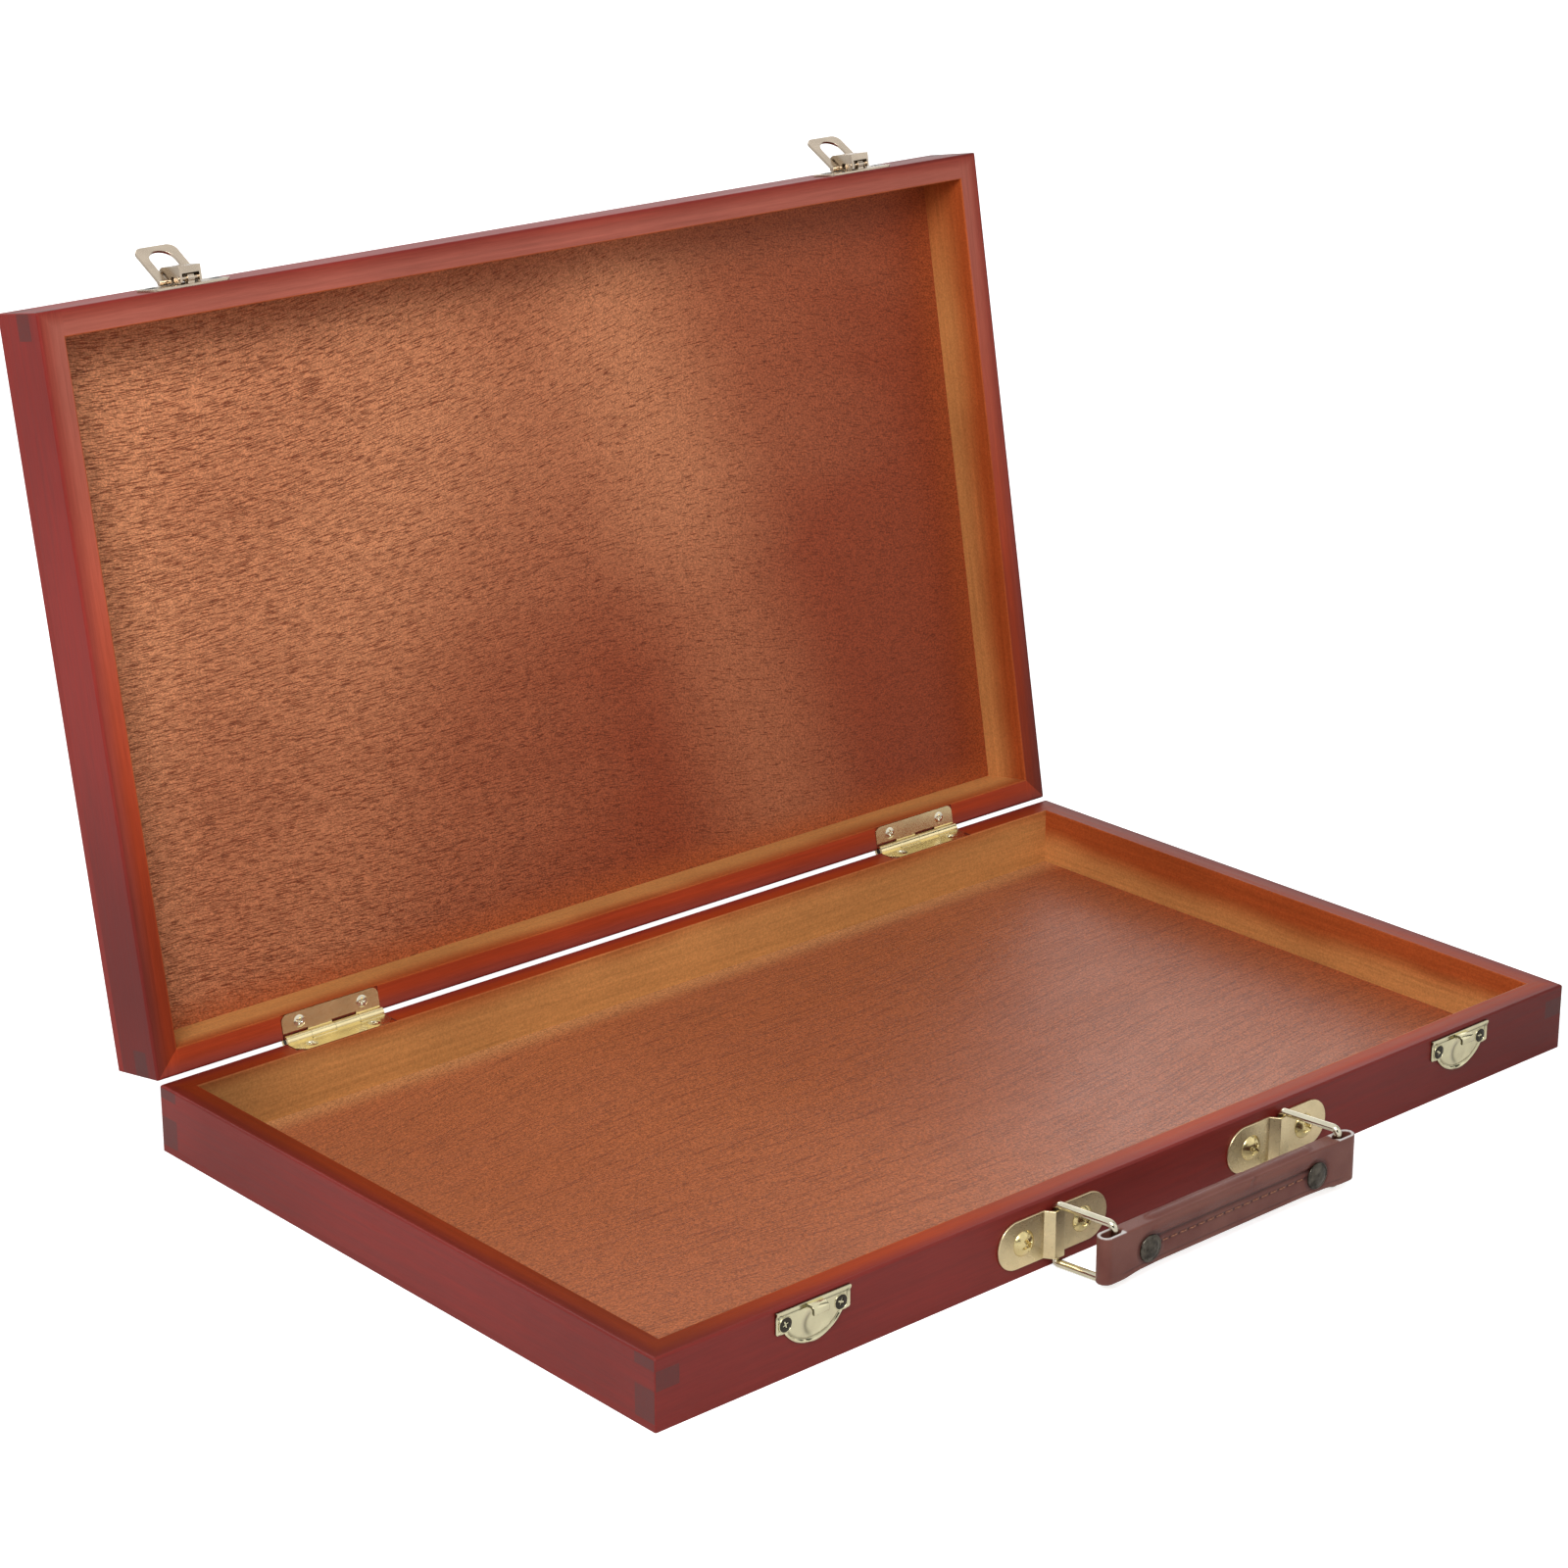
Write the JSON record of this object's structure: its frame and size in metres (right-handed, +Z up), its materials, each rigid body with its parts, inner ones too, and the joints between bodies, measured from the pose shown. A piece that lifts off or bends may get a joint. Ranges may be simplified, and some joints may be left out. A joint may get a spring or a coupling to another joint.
{
  "type": "art supply box",
  "caption": "Shallow hinged wooden case for art supplies, with two draw latches on the lid and a leather carrying grip on swinging wire links.",
  "frame": {"origin": "centre of the base's flat underside", "axes": "+X along the front to the right, +Y to the rear hinges, +Z up"},
  "size_m": [0.4, 0.3412, 0.2741],
  "materials": {
    "stained_wood": "solid softwood rails, mahogany-red stain under satin lacquer",
    "plywood": "thin plywood, stained orange-brown under satin lacquer",
    "catch_brass": "bright brass-plated pressed steel",
    "latch_brass": "brass-plated pressed steel, slightly pink",
    "hinge_brass": "brass-plated steel hinge",
    "handle_brass": "satin brass-plated steel",
    "nickel_wire": "bright plated spring wire",
    "screw_steel": "plated steel screws",
    "grip_leather": "dark red-brown smooth leather",
    "grip_filler": "layered leather board",
    "dark_bronze": "dark bronze-plated rivet",
    "waxed_thread": "waxed polyester thread"
  },
  "bodies": {
    "base": {"base_front_rail": "stained_wood", "base_back_rail": "stained_wood", "base_left_rail": "stained_wood", "base_right_rail": "stained_wood", "base_bottom_panel": "plywood", "catch_plate_left": "catch_brass", "catch_plate_right": "catch_brass", "catch_screws": "screw_steel", "handle_plate_left": "handle_brass", "handle_plate_right": "handle_brass", "handle_plate_screws": "handle_brass", "hinge_base_leaf_left": "hinge_brass", "hinge_base_leaf_right": "hinge_brass", "hinge_base_screws": "screw_steel", "hinge_pin_left": "hinge_brass", "hinge_pin_right": "hinge_brass"},
    "lid": {"lid_front_rail": "stained_wood", "lid_back_rail": "stained_wood", "lid_left_rail": "stained_wood", "lid_right_rail": "stained_wood", "lid_top_panel": "plywood", "hinge_lid_leaf_left": "hinge_brass", "hinge_lid_leaf_right": "hinge_brass", "hinge_lid_screws": "screw_steel", "latch_base_left": "latch_brass", "latch_base_right": "latch_brass", "latch_screws": "screw_steel"},
    "lever_left": {"latch_lever_left": "latch_brass", "latch_pin_left": "latch_brass"},
    "lever_right": {"latch_lever_right": "latch_brass", "latch_pin_right": "latch_brass"},
    "loop_left": {"latch_loop_left": "latch_brass"},
    "loop_right": {"latch_loop_right": "latch_brass"},
    "link_left": {"handle_link_left": "nickel_wire"},
    "link_right": {"handle_link_right": "nickel_wire"},
    "grip": {"grip_cover": "grip_leather", "grip_core": "grip_filler", "grip_rivets": "dark_bronze", "grip_rivet_caps": "dark_bronze", "grip_stitching": "waxed_thread"}
  },
  "joints": [
    {"name": "lid_hinge", "type": "hinge", "parent": "base", "child": "lid", "pos_m": [0, 0.12315, 0.0234], "axis": [1, 0, 0], "range_deg": [0, 100.2]},
    {"name": "lever_pivot_left", "type": "hinge", "parent": "lid", "child": "lever_left", "pos_m": [-0.1419, 0.17109, 0.26726], "axis": [-1, 0, 0], "range_deg": [-80, 0]},
    {"name": "lever_pivot_right", "type": "hinge", "parent": "lid", "child": "lever_right", "pos_m": [0.145, 0.17109, 0.26726], "axis": [-1, 0, 0], "range_deg": [-80, 0]},
    {"name": "loop_pivot_left", "type": "hinge", "parent": "lever_left", "child": "loop_left", "pos_m": [-0.1419, 0.17688, 0.26556], "axis": [1, 0, 0], "range_deg": [0, 141]},
    {"name": "loop_pivot_right", "type": "hinge", "parent": "lever_right", "child": "loop_right", "pos_m": [0.145, 0.17688, 0.26556], "axis": [1, 0, 0], "range_deg": [0, 141]},
    {"name": "handle_swing", "type": "hinge", "parent": "base", "child": "link_left", "pos_m": [-0.04535, -0.1242, 0.0115], "axis": [0, 0, 1], "range_deg": [-78, 62]},
    {"name": "grip_pivot", "type": "hinge", "parent": "link_left", "child": "grip", "pos_m": [-0.04236, -0.14549, 0.0115], "axis": [0, 0, 1], "range_deg": [-62, 78]},
    {"name": "right_link_swing", "type": "hinge", "parent": "base", "child": "link_right", "pos_m": [0.05515, -0.1242, 0.0115], "axis": [0, 0, 1], "range_deg": [-78, 62]}
  ],
  "couplings": [
    {"joint": "grip_pivot", "follows": "handle_swing", "ratio": -1},
    {"joint": "right_link_swing", "follows": "handle_swing", "ratio": 1}
  ]
}
